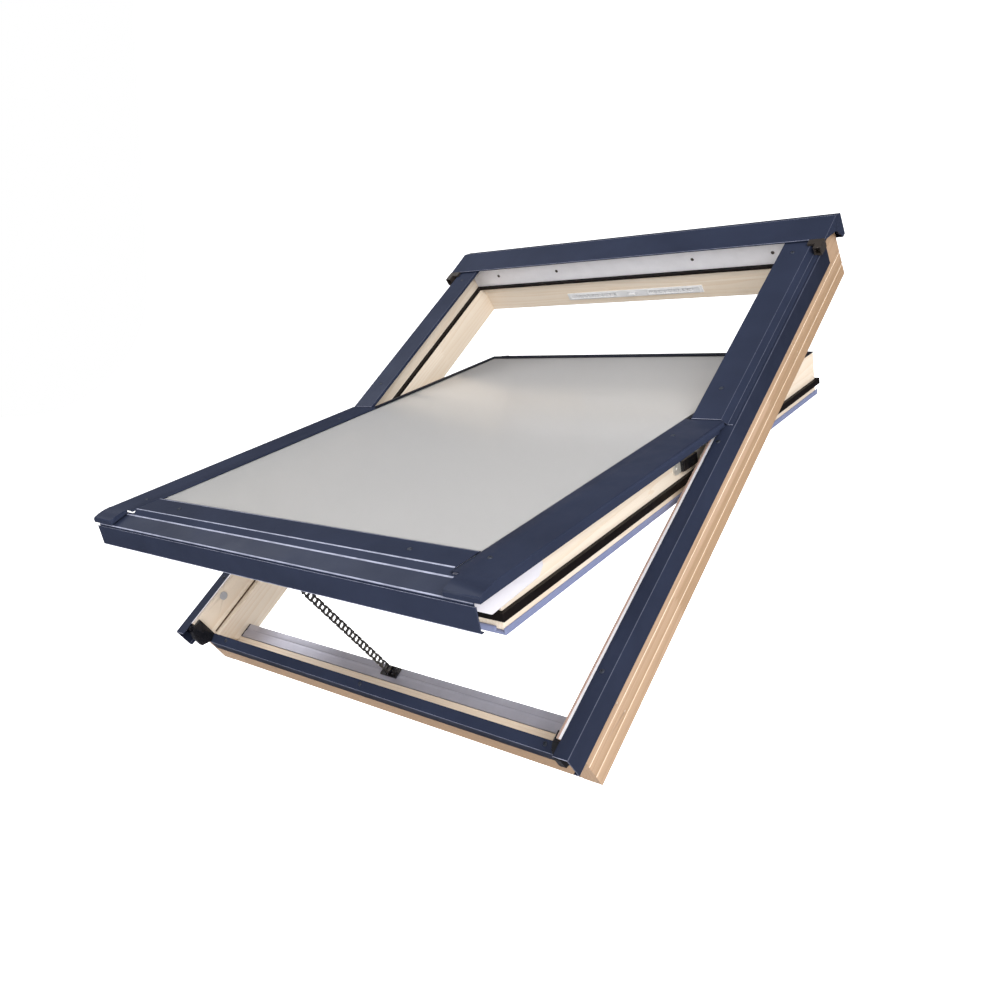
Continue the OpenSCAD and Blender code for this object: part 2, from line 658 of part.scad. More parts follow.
// Extruded angles under the sash, each with a leg up the wood's outer face
module underside_strips() color([0.62, 0.63, 0.74]) on_sash() {
    both_sides() {
        run_up(sash_foot - 3, sash_head + 3) polygon([
            [sash_u - 12, -sash_under - strip_t], [sash_u + 2.5, -sash_under - strip_t],
            [sash_u + 2.5, -sash_under + 5], [sash_u, -sash_under + 5], [sash_u, -sash_under],
            [sash_u - 12, -sash_under]
        ]);
        foot_strip(20, sash_u - 12);
    }
    block([-sash_u + 12, sash_head - 20, -sash_under - strip_t],
          [sash_u - 12, sash_head + 3, -sash_under]);
}
module foot_strip(a, b) run_across(a, b) polygon([
    [sash_foot + 18, -sash_under - strip_t], [sash_foot - 3, -sash_under - strip_t],
    [sash_foot - 3, -sash_under + 5], [sash_foot, -sash_under + 5], [sash_foot, -sash_under],
    [sash_foot + 18, -sash_under]
]);

module end_piece(side) color([0.80, 0.80, 0.83]) on_sash() at_side(side)
    run_across(sash_u + seat, sash_u + 6) polygon([
        [sash_foot + 74, skirt_m + 6], [sash_foot + 74, -14], [sash_foot + 64, -24],
        [sash_foot - 21, -28], [sash_foot - 42, -13], [nose_s + 9, skirt_m - 8],
        [nose_s + 9, skirt_m - 5]
    ]);

// ---- chain drive ----

module actuator_housing() color(alloy) on_roof() difference() {
    block([-jamb_in + 3, drive_in, drive_n], [jamb_in - 3, drive_in + drive_w, drive_top]);
    block([-jamb_in, drive_in + drive_wall, drive_n + drive_wall],
          [jamb_in, drive_in + drive_w - drive_wall, drive_top - drive_wall]);
    // shadow groove along the top, and the mouth that the chain leaves by
    block([-jamb_in, drive_mid - 3.5, drive_top - 0.8], [jamb_in, drive_mid - 0.5, drive_top + eps]);
    block([-5, drive_mid - 7.5, drive_top - 4], [5, drive_mid + 7, drive_top + eps]);
}

module housing_end_plates() color([0.70, 0.70, 0.74]) on_roof() both_sides() {
    block([jamb_in - 3, drive_in, drive_n], [jamb_in - seat, drive_in + drive_w, drive_top]);
    rod_u([jamb_in - 8, drive_in + 5, drive_n + drive_wall + 3], 1.4, 6);
}

module chain_guide() color([0.05, 0.05, 0.06]) on_roof() difference() {
    block([-16, drive_mid - 8.8, drive_top], [16, drive_mid + 8, drive_top + guide_h]);
    block([-4.6, drive_mid - 7.2, drive_top - eps], [4.6, drive_mid + 6.6, drive_top + guide_h + eps]);
}

module drive_sprocket() color([0.45, 0.45, 0.47]) on_roof()
    translate([sprocket_at[0], drive_mid, sprocket_at[1]]) {
        rod_v([0, -3, 0], 5, 6);
        rod_v([0, -9.2, 0], 1.5, 16.2);
        for (i = [0 : 5]) rotate([0, i * 60, 0]) block([-0.9, -2, 4], [0.9, 2, sprocket_r + 0.6]);
    }

// Gear case, with two cheeks that carry the sprocket's shaft
module gearbox() color([0.30, 0.30, 0.32]) on_roof() difference() {
    union() {
        block([18, drive_mid - 9.6, drive_n + 2], [52, drive_mid + 7.4, drive_top - 2]);
        block([0, drive_mid - 9.6, drive_n + 2], [19, drive_mid - 7.9, drive_top - 6]);
        block([0, drive_mid + 5.7, drive_n + 2], [19, drive_mid + 7.4, drive_top - 6]);
    }
    rod_v([sprocket_at[0], drive_mid - 12, sprocket_at[1]], 1.5 + fit, 24);
}

module drive_motor() color([0.55, 0.55, 0.57]) on_roof() {
    rod_u([53, drive_mid - 1.1, drive_n + 9.5], 7, 60);
    rod_u([52, drive_mid - 1.1, drive_n + 9.5], 3, 2);
    rod_u([113, drive_mid - 1.1, drive_n + 9.5], 3, 3);
}

module control_board() color([0.10, 0.35, 0.20]) on_roof() {
    block([-190, drive_mid - 9.4, drive_n + drive_wall + seat], [-60, drive_mid + 7, drive_n + 3.6]);
    block([-180, drive_mid - 6, drive_n + 3.5], [-150, drive_mid + 4, drive_n + 12]);
    block([-120, drive_mid - 5, drive_n + 3.5], [-108, drive_mid + 3, drive_n + 9]);
    for (u = [-95, -82]) rod_n([u, drive_mid, drive_n + 3.5], 4, 9);
}

// Places the chain's own z along its run
module on_chain() on_roof() translate([0, chain_foot[0], chain_foot[1]])
    rotate([chain_lean, 0, 0]) children();

link_t = 1.1;
plate_r = 3.2;
eye_half = link_w / 2 - 2 * link_t - 0.3;

// The two plates of a link, apart across the chain
module link_plates(half) for (m = [0, 1]) mirror([0, m, 0]) difference() {
    union() {
        for (z = [0, chain_pitch]) rod_v([0, half - link_t, z], plate_r, link_t);
        block([-plate_r + 0.6, half - link_t, 0], [plate_r - 0.6, half, chain_pitch]);
    }
    for (z = [0, chain_pitch]) rod_v([0, half - link_t - eps, z], chain_pin_r + fit, link_t + 2 * eps);
}

// Links, and the eye at the sash that turns the chain's last pin square
module chain_links() color([0.36, 0.36, 0.36]) on_chain() {
    for (i = [0 : chain_links_n - 1]) translate([0, 0, i * chain_pitch]) {
        half = i % 2 == 0 ? link_w / 2 : link_w / 2 - link_t - 0.15;
        link_plates(half);
        block([-plate_r + 0.6, -half + 0.2, chain_pitch / 2 - 1.3],
              [-plate_r + 1.6, half - 0.2, chain_pitch / 2 + 1.3]);
    }
    difference() {
        union() {
            block([-2.6, -eye_half, chain_run - 2.6], [2.6, eye_half, chain_span]);
            rod_u([-2.6, 0, chain_span], eye_half, 5.2);
        }
        rod_v([0, -eye_half - eps, chain_run], chain_pin_r + fit, 2 * eye_half + 2 * eps);
        rod_u([-4, 0, chain_span], chain_pin_r + fit, 8);
    }
}

module chain_pins() color([0.60, 0.60, 0.60]) on_chain() {
    for (i = [0 : chain_links_n])
        rod_v([0, -link_w / 2 - 0.6, i * chain_pitch], chain_pin_r, link_w + 1.2);
    rod_u([-6, 0, chain_span], chain_pin_r, 12);
}

// Bracket under the sash: a screwed plate with two ears for the chain's eye
module bracket_screw_at(u) translate([u, sash_foot + 9, -sash_under - 1.8]) rotate([180, 0, 0])
    children();
module chain_bracket() color([0.72, 0.72, 0.74]) on_sash() {
    difference() {
        union() {
            block([-19, sash_foot, -sash_under - 1.8], [19, sash_foot + 18, -sash_under]);
            for (u = [-5.4, 3.8]) {
                block([u, bracket_s - 3, bracket_m - 0.5], [u + 1.6, sash_foot + 9, -sash_under - 0.5]);
                rod_u([u, bracket_s, bracket_m], 3.5, 1.6);
            }
        }
        rod_u([-8, bracket_s, bracket_m], chain_pin_r + 0.15, 16);
        block([-8, sash_foot - 8, -sash_under], [8, sash_foot, 0]);
        for (u = bracket_screws_u) bracket_screw_at(u) screw_hole(4);
    }
    for (u = bracket_screws_u) bracket_screw_at(u) screw_down(12);
}

// ---- nodes ----

jamb(-1);  // left_jamb
jamb(1);  // right_jamb
top_rail();
bottom_rail();
corner_dowels();
side_cladding(-1);  // left_side_cladding
side_cladding(1);  // right_side_cladding
rail_cladding();
top_cladding();
upper_cover(-1);  // left_upper_cover
upper_cover(1);  // right_upper_cover
cover_clips();
corner_caps();
hood_blocks();
frame_gasket();
lower_seal_strips();
jamb_strips();
head_strip();
head_strip_screws();
cladding_screws();
jamb_plugs();
vent_grille();
vent_slider();
frame_hinge(-1);  // left_frame_hinge
frame_hinge(1);  // right_frame_hinge
frame_hinge_screws();
actuator_housing();
housing_end_plates();
chain_guide();
drive_sprocket();
gearbox();
drive_motor();
control_board();
chain_links();
chain_pins();
stile(-1);  // left_stile
stile(1);  // right_stile
sash_top_rail();
sash_bottom_rail();
pane(glass_m - pane_t);  // outer_pane
pane(glass_m - unit_t);  // inner_pane
pane_spacer();
glazing_seal();
side_cover(-1);  // left_side_cover
side_cover(1);  // right_side_cover
bottom_cover();
cover_carrier();
drip_flap();
upper_trim();
sash_seal();
underside_strips();
end_piece(-1);  // left_end_piece
end_piece(1);  // right_end_piece
sash_hinge(-1);  // left_sash_hinge
sash_hinge(1);  // right_sash_hinge
brake_blocks();
sash_hinge_screws();
chain_bracket();
sash_cover_screws();
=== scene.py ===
import math

import bmesh
import bpy
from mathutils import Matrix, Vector


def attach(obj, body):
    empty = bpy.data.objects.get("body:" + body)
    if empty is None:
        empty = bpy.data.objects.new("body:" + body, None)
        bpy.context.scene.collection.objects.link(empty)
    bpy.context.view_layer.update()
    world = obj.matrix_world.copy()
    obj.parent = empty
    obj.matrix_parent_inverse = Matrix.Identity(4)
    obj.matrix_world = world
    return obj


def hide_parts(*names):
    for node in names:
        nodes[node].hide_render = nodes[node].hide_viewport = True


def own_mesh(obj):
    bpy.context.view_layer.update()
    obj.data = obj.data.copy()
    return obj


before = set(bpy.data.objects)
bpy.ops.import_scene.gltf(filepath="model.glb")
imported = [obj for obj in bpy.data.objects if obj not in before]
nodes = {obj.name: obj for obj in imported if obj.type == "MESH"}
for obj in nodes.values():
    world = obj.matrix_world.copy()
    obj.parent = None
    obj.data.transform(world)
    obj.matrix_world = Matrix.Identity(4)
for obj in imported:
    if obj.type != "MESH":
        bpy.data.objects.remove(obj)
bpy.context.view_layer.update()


# ---- Camera ----
# Stands low in front of the window's foot, off its right corner, and looks
# slightly down, so that the sash's outside, its foot and the right jamb show.

camera = bpy.data.objects.new("camera", bpy.data.cameras.new("camera"))
bpy.context.collection.objects.link(camera)
camera.location = (0.95141, -1.23501, 0.16280)
camera.rotation_euler = (math.radians(81.932), 0.0, math.radians(39.631))
camera.data.lens = 32.75
camera.data.sensor_width = 36.0
camera.data.clip_start = 0.05
camera.data.clip_end = 60.0
bpy.context.scene.camera = camera


# ---- Studio ----
# A white sweep: a pale floor well below the window that curves up behind it,
# under an even white sky, with three large soft boxes.

def add_node(tree, kind, **values):
    """Adds a shader node and sets its properties and input sockets by name."""
    node = tree.nodes.new(kind)
    for key, value in values.items():
        if hasattr(node, key):
            setattr(node, key, value)
        else:
            node.inputs[key.replace("_", " ")].default_value = value
    return node


def surface(name, **constants):
    """Starts a material: returns it, its tree and its Principled shader."""
    material = bpy.data.materials.new(name)
    material.use_nodes = True
    shader = material.node_tree.nodes["Principled BSDF"]
    for key, value in constants.items():
        shader.inputs[key.replace("_", " ")].default_value = value
    return material, material.node_tree, shader


def mix_colour(tree, share, a, b):
    """Mixes two colours, each a socket or a tuple, by a share; returns the colour."""
    node = tree.nodes.new("ShaderNodeMix")
    node.data_type = "RGBA"
    for socket, value in ((node.inputs[0], share), (node.inputs[6], a), (node.inputs[7], b)):
        if isinstance(value, (int, float)):
            socket.default_value = value
        elif isinstance(value, tuple):
            socket.default_value = (*value, 1)
        else:
            tree.links.new(value, socket)
    return node.outputs[2]


FLOOR_Z = -1.05
FLOOR_BACK = 9.0
CURVE_R = 4.0
CURVE_ROWS = 24
HALF_SWEEP = 24.0
bm = bmesh.new()
rows = [(-12.0, FLOOR_Z)]
for i in range(CURVE_ROWS + 1):
    turn = math.pi / 2 * i / CURVE_ROWS
    rows.append((FLOOR_BACK + CURVE_R * math.sin(turn), FLOOR_Z + CURVE_R * (1 - math.cos(turn))))
rows.append((FLOOR_BACK + CURVE_R, 14.0))
rows = [[bm.verts.new((x, y, z)) for x in (-HALF_SWEEP, HALF_SWEEP)] for y, z in rows]
for a, b in zip(rows, rows[1:]):
    bm.faces.new((a[0], a[1], b[1], b[0]))
mesh = bpy.data.meshes.new("sweep")
bm.to_mesh(mesh)
bm.free()
for face in mesh.polygons:
    face.use_smooth = True
sweep = bpy.data.objects.new("sweep", mesh)
bpy.context.collection.objects.link(sweep)

# Burnt out to white where it is seen, and dim where the coats mirror it
sweep_paint, tree, shader = surface("sweep paint", Roughness=1.0, Specular_IOR_Level=0.0,
                                    Emission_Color=(1, 1, 1, 1))
ray = tree.nodes.new("ShaderNodeLightPath")
paint = mix_colour(tree, ray.outputs["Is Glossy Ray"], (0.92, 0.92, 0.93), (0.16, 0.16, 0.18))
tree.links.new(paint, shader.inputs["Base Color"])
tree.links.new(ray.outputs["Is Camera Ray"], shader.inputs["Emission Strength"])
mesh.materials.append(sweep_paint)

SKY, SKY_IN_GLOSS = 0.70, 0.10
world = bpy.data.worlds.new("studio")
world.use_nodes = True
sky = world.node_tree
ray = sky.nodes.new("ShaderNodeLightPath")
level = add_node(sky, "ShaderNodeMapRange", To_Min=SKY, To_Max=SKY_IN_GLOSS)
sky.links.new(ray.outputs["Is Glossy Ray"], level.inputs["Value"])
seen = add_node(sky, "ShaderNodeMath", operation="MAXIMUM")
sky.links.new(level.outputs[0], seen.inputs[0])
sky.links.new(ray.outputs["Is Camera Ray"], seen.inputs[1])
sky.nodes["Background"].inputs["Color"].default_value = (1.0, 1.0, 1.0, 1)
sky.links.new(seen.outputs[0], sky.nodes["Background"].inputs["Strength"])
bpy.context.scene.world = world


def soft_box(name, place, aim, width, height, power):
    lamp = bpy.data.lights.new(name, "AREA")
    lamp.shape, lamp.size, lamp.size_y, lamp.energy = "RECTANGLE", width, height, power
    box = bpy.data.objects.new(name, lamp)
    bpy.context.collection.objects.link(box)
    box.location = place
    box.rotation_euler = (Vector(aim) - Vector(place)).to_track_quat("-Z", "Y").to_euler()


soft_box("key box", (3.0, -2.2, 1.5), (0, 0, 0), 2.4, 1.8, 125)
soft_box("fold box", (-2.6, -0.9, 2.9), (0, 0, 0), 2.2, 2.2, 60)
soft_box("low box", (0.4, -3.2, 0.2), (0, 0, -0.1), 2.4, 1.0, 14)
bpy.context.scene.view_settings.view_transform = "Standard"
bpy.context.scene.view_settings.look = "None"


# ---- Frame wood: jambs and rails ----
# Four planed and rebated pine boards, grooved along the outside. A pale lacquer
# covers the room side and the inner faces, and the outer sides are only oiled; the grooves and the outer
# sides' rounded edges keep the pale colour as a painted highlight.

PITCH = math.radians(42.0)
HALF_W, HALF_L = 0.390, 0.490
# the grooves' floors and the rounded edges lie inside this line, so they stay pale: a painted highlight
LACQUER_AND_HIGHLIGHT_SIDE = HALF_W - 0.0010
LACQUER_END = HALF_L - 0.0005
FINGER_LONG, FINGER_WIDE = 2.6, 0.0035
TIMBER_LENGTH, TIMBER_DEPTH = 0.37, 0.034


def new_group(name, inputs, outputs):
    """Starts a shader node group with named inputs (name, kind, value) and outputs."""
    group = bpy.data.node_groups.new(name, "ShaderNodeTree")
    for label, kind, value in inputs:
        socket = group.interface.new_socket(label, in_out="INPUT", socket_type="NodeSocket" + kind)
        if value is not None:
            socket.default_value = value
    for label, kind in outputs:
        group.interface.new_socket(label, in_out="OUTPUT", socket_type="NodeSocket" + kind)
    return group, group.nodes.new("NodeGroupInput"), group.nodes.new("NodeGroupOutput")


def math_node(tree, operation, a, b=None, clamp=False):
    """A Math node on sockets or numbers; returns its result."""
    node = add_node(tree, "ShaderNodeMath", operation=operation, use_clamp=clamp)
    for socket, value in zip(node.inputs, (a, b)):
        if value is None:
            continue
        if isinstance(value, (int, float)):
            socket.default_value = value
        else:
            tree.links.new(value, socket)
    return node.outputs[0]


def vector_node(tree, operation, a, b, c=None):
    """A Vector Math node on sockets or tuples; returns the node."""
    node = add_node(tree, "ShaderNodeVectorMath", operation=operation)
    for socket, value in zip(node.inputs, (a, b, c)):
        if value is None:
            continue
        if isinstance(value, tuple):
            socket.default_value = value
        else:
            tree.links.new(value, socket)
    return node


def spread(tree, value, low, high, to_low=0.0, to_high=1.0):
    """Maps a value's range onto another, clamped."""
    node = add_node(tree, "ShaderNodeMapRange", From_Min=low, From_Max=high, To_Min=to_low, To_Max=to_high)
    tree.links.new(value, node.inputs["Value"])
    return node.outputs["Result"]


def noise(tree, vector, scale, detail=3.0, roughness=0.55):
    node = add_node(tree, "ShaderNodeTexNoise", Scale=scale, Detail=detail, Roughness=roughness)
    tree.links.new(vector, node.inputs["Vector"])
    return node.outputs["Fac"]


def tilted(tree, lean, scale=(1.0, 1.0, 1.0)):
    """The object's own coordinates, turned back by a tilt about X so that Y runs up the slope."""
    node = tree.nodes.new("ShaderNodeMapping")
    node.inputs["Rotation"].default_value = (-lean, 0, 0)
    node.inputs["Scale"].default_value = scale
    tree.links.new(tree.nodes.new("ShaderNodeTexCoord").outputs["Object"], node.inputs["Vector"])
    return node.outputs[0]


# Rounds each sharp edge in the shading, adds fine relief, and marks the edges
edge_group, given, put = new_group(
    "eased edges",
    [("Radius", "Float", 0.0008), ("Relief", "Float", 0.5), ("Depth", "Float", 0.0001)],
    [("Normal", "Vector"), ("Edge", "Float")])
bevel = add_node(edge_group, "ShaderNodeBevel", samples=6)
relief = add_node(edge_group, "ShaderNodeBump", Strength=1.0)
face = edge_group.nodes.new("ShaderNodeNewGeometry")
edge_group.links.new(given.outputs["Radius"], bevel.inputs["Radius"])
edge_group.links.new(given.outputs["Relief"], relief.inputs["Height"])
edge_group.links.new(given.outputs["Depth"], relief.inputs["Distance"])
edge_group.links.new(bevel.outputs["Normal"], relief.inputs["Normal"])
bent = vector_node(edge_group, "DOT_PRODUCT", bevel.outputs["Normal"], face.outputs["Normal"])
edge_group.links.new(relief.outputs["Normal"], put.inputs["Normal"])
edge_group.links.new(spread(edge_group, bent.outputs["Value"], 0.995, 0.80), put.inputs["Edge"])


def eased(tree, shader, radius, depth, height):
    """Places the eased edges in a material, with its relief; returns the edge mask."""
    edges = add_node(tree, "ShaderNodeGroup", node_tree=edge_group)
    edges.inputs["Radius"].default_value = radius
    edges.inputs["Depth"].default_value = depth
    tree.links.new(height, edges.inputs["Relief"])
    tree.links.new(edges.outputs["Normal"], shader.inputs["Normal"])
    return edges.outputs["Edge"]


# Pine in a board's own directions: X across, Y along the grain, Z through
grain_group, given, put = new_group(
    "pine grain",
    [("Vector", "Vector", None), ("Ring Width", "Float", 0.004), ("Shift", "Float", 0.0)],
    [("Rings", "Float"), ("Fibre", "Float"), ("Lamella", "Float")])
split = grain_group.nodes.new("ShaderNodeSeparateXYZ")
grain_group.links.new(given.outputs["Vector"], split.inputs[0])
x, y, z = split.outputs
# lengths of timber joined end to end by fingers, each cut from another log
zigzag = math_node(grain_group, "PINGPONG", math_node(grain_group, "ADD", x, z), FINGER_WIDE)
joint_y = math_node(grain_group, "ADD", y, math_node(grain_group, "MULTIPLY", zigzag, FINGER_LONG))
joint_y = math_node(grain_group, "ADD", joint_y, given.outputs["Shift"])
lamella = math_node(grain_group, "FLOOR", math_node(grain_group, "DIVIDE", joint_y, TIMBER_LENGTH))
strip = math_node(grain_group, "FLOOR", math_node(grain_group, "DIVIDE", z, TIMBER_DEPTH))
chance = add_node(grain_group, "ShaderNodeTexWhiteNoise", noise_dimensions="2D")
pair = grain_group.nodes.new("ShaderNodeCombineXYZ")
grain_group.links.new(lamella, pair.inputs[0])
grain_group.links.new(strip, pair.inputs[1])
grain_group.links.new(pair.outputs[0], chance.inputs["Vector"])
grain_group.links.new(chance.outputs["Value"], put.inputs["Lamella"])
# growth rings about the heart of each log, drawn out along the grain
heart = vector_node(grain_group, "MULTIPLY_ADD", chance.outputs["Color"], (0.30, 0.0, 0.24),
                    (-0.15, 0.0, 0.03))
off = vector_node(grain_group, "SUBTRACT", given.outputs["Vector"], heart.outputs[0])
drawn = vector_node(grain_group, "MULTIPLY", off.outputs[0], (1.0, 0.07, 1.0))
wander = noise(grain_group, drawn.outputs[0], 16.0, 2.0)
cut = grain_group.nodes.new("ShaderNodeSeparateXYZ")
grain_group.links.new(off.outputs[0], cut.inputs[0])
squares = math_node(grain_group, "ADD",
                    math_node(grain_group, "MULTIPLY", cut.outputs[0], cut.outputs[0]),
                    math_node(grain_group, "MULTIPLY", cut.outputs[2], cut.outputs[2]))
radius = math_node(grain_group, "ADD", math_node(grain_group, "SQRT", squares),
                   math_node(grain_group, "MULTIPLY", wander, 0.030))
ring = math_node(grain_group, "FRACT",
                 math_node(grain_group, "DIVIDE", radius, given.outputs["Ring Width"]))
grain_group.links.new(math_node(grain_group, "POWER", ring, 2.6), put.inputs["Rings"])
thread = vector_node(grain_group, "MULTIPLY", given.outputs["Vector"], (1.0, 0.035, 1.0))
grain_group.links.new(noise(grain_group, thread.outputs[0], 900.0, 4.0, 0.65), put.inputs["Fibre"])


def pine(name, lean, along, colours, ring_width=0.0042, shift=0.0, outside=None):
    """Pine for one piece: its tilt, the direction of its grain, its early and late wood."""
    material, tree, shader = surface(name, Specular_IOR_Level=0.4, Coat_Weight=0.22, Coat_Roughness=0.28)
    early, late = colours
    board = flat = tilted(tree, lean)
    if along == "X":
        turned = tree.nodes.new("ShaderNodeMapping")
        turned.inputs["Rotation"].default_value = (0, 0, math.pi / 2)
        tree.links.new(flat, turned.inputs["Vector"])
        board = turned.outputs[0]
    grain = add_node(tree, "ShaderNodeGroup", node_tree=grain_group)
    grain.inputs["Ring Width"].default_value = ring_width
    grain.inputs["Shift"].default_value = shift
    tree.links.new(board, grain.inputs["Vector"])
    rings = math_node(tree, "MULTIPLY", grain.outputs["Rings"], 0.55, clamp=True)
    fibre = spread(tree, grain.outputs["Fibre"], 0.35, 0.70)
    tint = math_node(tree, "ADD", rings, math_node(tree, "MULTIPLY", fibre, 0.16), clamp=True)
    log_tone = spread(tree, grain.outputs["Lamella"], 0.0, 1.0, 0.0, 0.35)
    colour = mix_colour(tree, log_tone, mix_colour(tree, tint, early, late), tuple(c * 0.86 for c in late))
    if outside:
        # the pale lacquer stops at the outer sides, where the logs differ more; the grooves and rounded
        # edges just inside that line stay pale as a painted highlight
        axes = tree.nodes.new("ShaderNodeSeparateXYZ")
        tree.links.new(flat, axes.inputs[0])
        side = math_node(tree, "GREATER_THAN", math_node(tree, "ABSOLUTE", axes.outputs[0]), LACQUER_AND_HIGHLIGHT_SIDE)
        end = math_node(tree, "GREATER_THAN", math_node(tree, "ABSOLUTE", axes.outputs[1]), LACQUER_END)
        bare = mix_colour(tree, math_node(tree, "MULTIPLY", tint, 1.15, clamp=True), *outside)
        patch = spread(tree, grain.outputs["Lamella"], 0.0, 1.0, 0.0, 0.7)
        bare = mix_colour(tree, patch, bare, tuple(c * 0.9 for c in outside[1]))
        colour = mix_colour(tree, math_node(tree, "MAXIMUM", side, end), colour, bare)
    tree.links.new(colour, shader.inputs["Base Color"])
    rough = spread(tree, grain.outputs["Fibre"], 0.3, 0.7, 0.36, 0.52)
    tree.links.new(rough, shader.inputs["Roughness"])
    height = math_node(tree, "SUBTRACT", fibre, math_node(tree, "MULTIPLY", rings, 0.6))
    eased(tree, shader, 0.0018, 0.00012, height)
    return material


def finish(names, material):
    """Gives CAD nodes their material."""
    for name in names:
        for slot in nodes[name].material_slots:
            slot.material = material


def built(work, name, material, body, node, sharp):
    """Turns a finished bmesh into a piece that rides a body and stands for a CAD node."""
    for face in work.faces:
        face.smooth = True
    shape = bpy.data.meshes.new(name)
    work.to_mesh(shape)
    work.free()
    shape.materials.append(material)
    shape.set_sharp_from_angle(angle=math.radians(sharp))
    piece = bpy.data.objects.new(name, shape)
    bpy.context.collection.objects.link(piece)
    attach(piece, body)
    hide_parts(node)
    return piece


def simplified(name):
    """A CAD node's shape as a bmesh, each flat made one face."""
    work = bmesh.new()
    work.from_mesh(nodes[name].data)
    bmesh.ops.remove_doubles(work, verts=work.verts, dist=0.00002)
    bmesh.ops.dissolve_limit(work, angle_limit=math.radians(2.0), verts=work.verts, edges=work.edges)
    return work


def thin(face, limit=0.0016):
    """True for a sheet's cut edge, which is narrower than any of its flats."""
    longest = max(edge.calc_length() for edge in face.edges)
    return face.calc_area() / longest < limit


def rounded(name, body, material, fold=0.0016, cut=0.0003, steps=3):
    """Stands for a CAD node: the same shape with its folds and its cut edges rounded.

    The layer named fold holds a painted highlight: 1 on a fold that runs across the window, less on the
    others."""
    work = simplified(name)
    painted_highlight_layer = work.loops.layers.float_color.new("fold")
    for face in work.faces:
        for loop in face.loops:
            loop[painted_highlight_layer] = (0, 0, 0, 1)
    for width, rounds, wanted in ((fold, steps, False), (cut, 2, True)):
        if width == 0:
            continue
        sharp = []
        for edge in work.edges:
            if len(edge.link_faces) != 2 or edge.calc_length() < 3 * width:
                continue
            turn = edge.calc_face_angle(0)
            cuts = any(thin(face) for face in edge.link_faces)
            if math.radians(14) < turn < math.radians(150) and cuts == wanted:
                sharp.append(edge)
        if not sharp:
            continue
        made = bmesh.ops.bevel(work, geom=sharp, offset=width, segments=rounds, profile=0.5,
                               affect="EDGES", clamp_overlap=True, loop_slide=True)
        for face in made["faces"]:
            along = max(face.edges, key=lambda edge: edge.calc_length())
            run = (along.verts[1].co - along.verts[0].co).normalized()
            # painted highlight strength: full on folds across the window, faint on the others
            share = 1.0 if abs(run.x) > 0.8 else 0.3
            for loop in face.loops:
                loop[painted_highlight_layer] = (share, share, share, 1)
    bmesh.ops.triangulate(work, faces=[face for face in work.faces if len(face.verts) > 4])
    piece = built(work, name + ".rounded", material, body, name, 40)
    even = piece.modifiers.new("even shading", "WEIGHTED_NORMAL")
    even.keep_sharp = True


LACQUERED = ((0.93, 0.82, 0.69), (0.82, 0.65, 0.47))
OILED = ((0.58, 0.40, 0.275), (0.42, 0.26, 0.14))
WOOD_EASE = 0.0022
for name, along, ring_width, shift in (("left_jamb", "Y", 0.0040, 0.11),
                                       ("right_jamb", "Y", 0.0046, 0.23),
                                       ("top_rail", "X", 0.0038, 0.05),
                                       ("bottom_rail", "X", 0.0042, 0.31)):
    timber = pine("pine, " + name, PITCH, along, LACQUERED, ring_width, shift, outside=OILED)
    rounded(name, "frame", timber, fold=WOOD_EASE, cut=0)


# ---- Corner dowels ----
# Eight turned beech dowels, two to a corner, glued across each joint of the
# frame's boards. They are hidden once the frame is closed.

finish(["corner_dowels"], pine("beech dowel", PITCH, "X", ((0.70, 0.50, 0.33), (0.55, 0.36, 0.21))))


# ---- Jamb plugs and the vent ----
# Grey moulded plugs close the jambs' fixing holes. The vent in the top rail is a
# slotted white moulding, snapped into the wood, with a slotted slider behind it.

mould_group, given, put = new_group("moulded skin", [("Vector", "Vector", None)],
                                    [("Grit", "Float"), ("Scuff", "Float")])
where = given.outputs["Vector"]
mould_group.links.new(noise(mould_group, where, 2200.0, 3.0, 0.6), put.inputs["Grit"])
scuff = spread(mould_group, noise(mould_group, where, 40.0, 5.0), 0.4, 0.72)
mould_group.links.new(scuff, put.inputs["Scuff"])


def moulded(name, colour, rough):
    """Moulded plastic with a fine spark-eroded grain and soft edges."""
    material, tree, shader = surface(name, Specular_IOR_Level=0.5)
    skin = add_node(tree, "ShaderNodeGroup", node_tree=mould_group)
    tree.links.new(tree.nodes.new("ShaderNodeTexCoord").outputs["Object"], skin.inputs["Vector"])
    scuffed = math_node(tree, "MULTIPLY", skin.outputs["Scuff"], 0.35)
    paler = tuple(min(1.0, c * 1.15 + 0.01) for c in colour)
    tree.links.new(mix_colour(tree, scuffed, colour, paler), shader.inputs["Base Color"])
    tree.links.new(spread(tree, skin.outputs["Scuff"], 0.0, 1.0, rough, rough + 0.12),
                   shader.inputs["Roughness"])
    eased(tree, shader, 0.0009, 0.00003, skin.outputs["Grit"])
    return material


finish(["jamb_plugs"], moulded("grey moulded plastic", (0.42, 0.42, 0.44), 0.45))
finish(["vent_grille", "vent_slider"], moulded("white moulded plastic", (0.82, 0.82, 0.83), 0.36))


# ---- Frame gasket and lower seal strips ----
# Extruded rubber pushed into grooves in the frame's step, black round the sash
# and brown at the foot, matt with faint lines from the die.

rubber_group, given, put = new_group("rubber skin", [("Vector", "Vector", None), ("Drawn", "Vector", None)],
                                     [("Lines", "Float"), ("Bloom", "Float")])
rubber_group.links.new(noise(rubber_group, given.outputs["Drawn"], 1500.0, 2.0), put.inputs["Lines"])
bloom = spread(rubber_group, noise(rubber_group, given.outputs["Vector"], 30.0, 4.0), 0.42, 0.75)
rubber_group.links.new(bloom, put.inputs["Bloom"])


